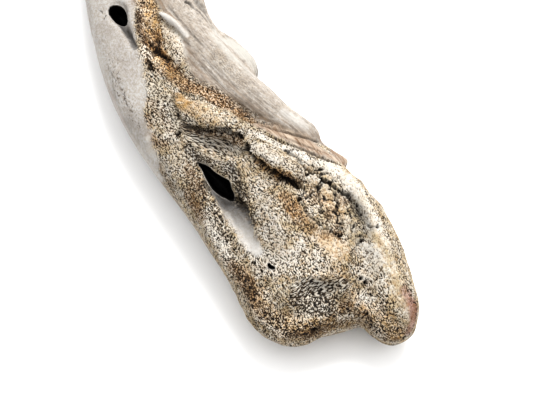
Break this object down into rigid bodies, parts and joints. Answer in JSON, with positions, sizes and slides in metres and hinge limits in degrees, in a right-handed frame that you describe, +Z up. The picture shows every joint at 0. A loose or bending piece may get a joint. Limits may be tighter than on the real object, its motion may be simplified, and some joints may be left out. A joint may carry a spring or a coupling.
{
  "type": "carved whale rib bone",
  "caption": "Curved, flattened rib lying on its broad side, with a broad two-lobed end, carved hollows and grooves, and a raised plate.",
  "frame": {"origin": "middle of the bone's bounding box, at the level it rests on", "axes": "+Z up from the surface it lies on, +Y from the broad carved end towards the far end, +X across it, to the inner side of the curve"},
  "size_m": [0.2186, 0.6093, 0.0464],
  "materials": {
    "bone": "matt, weathered, porous"
  },
  "bodies": {
    "root": {"rib_bone": "bone"}
  },
  "joints": []
}
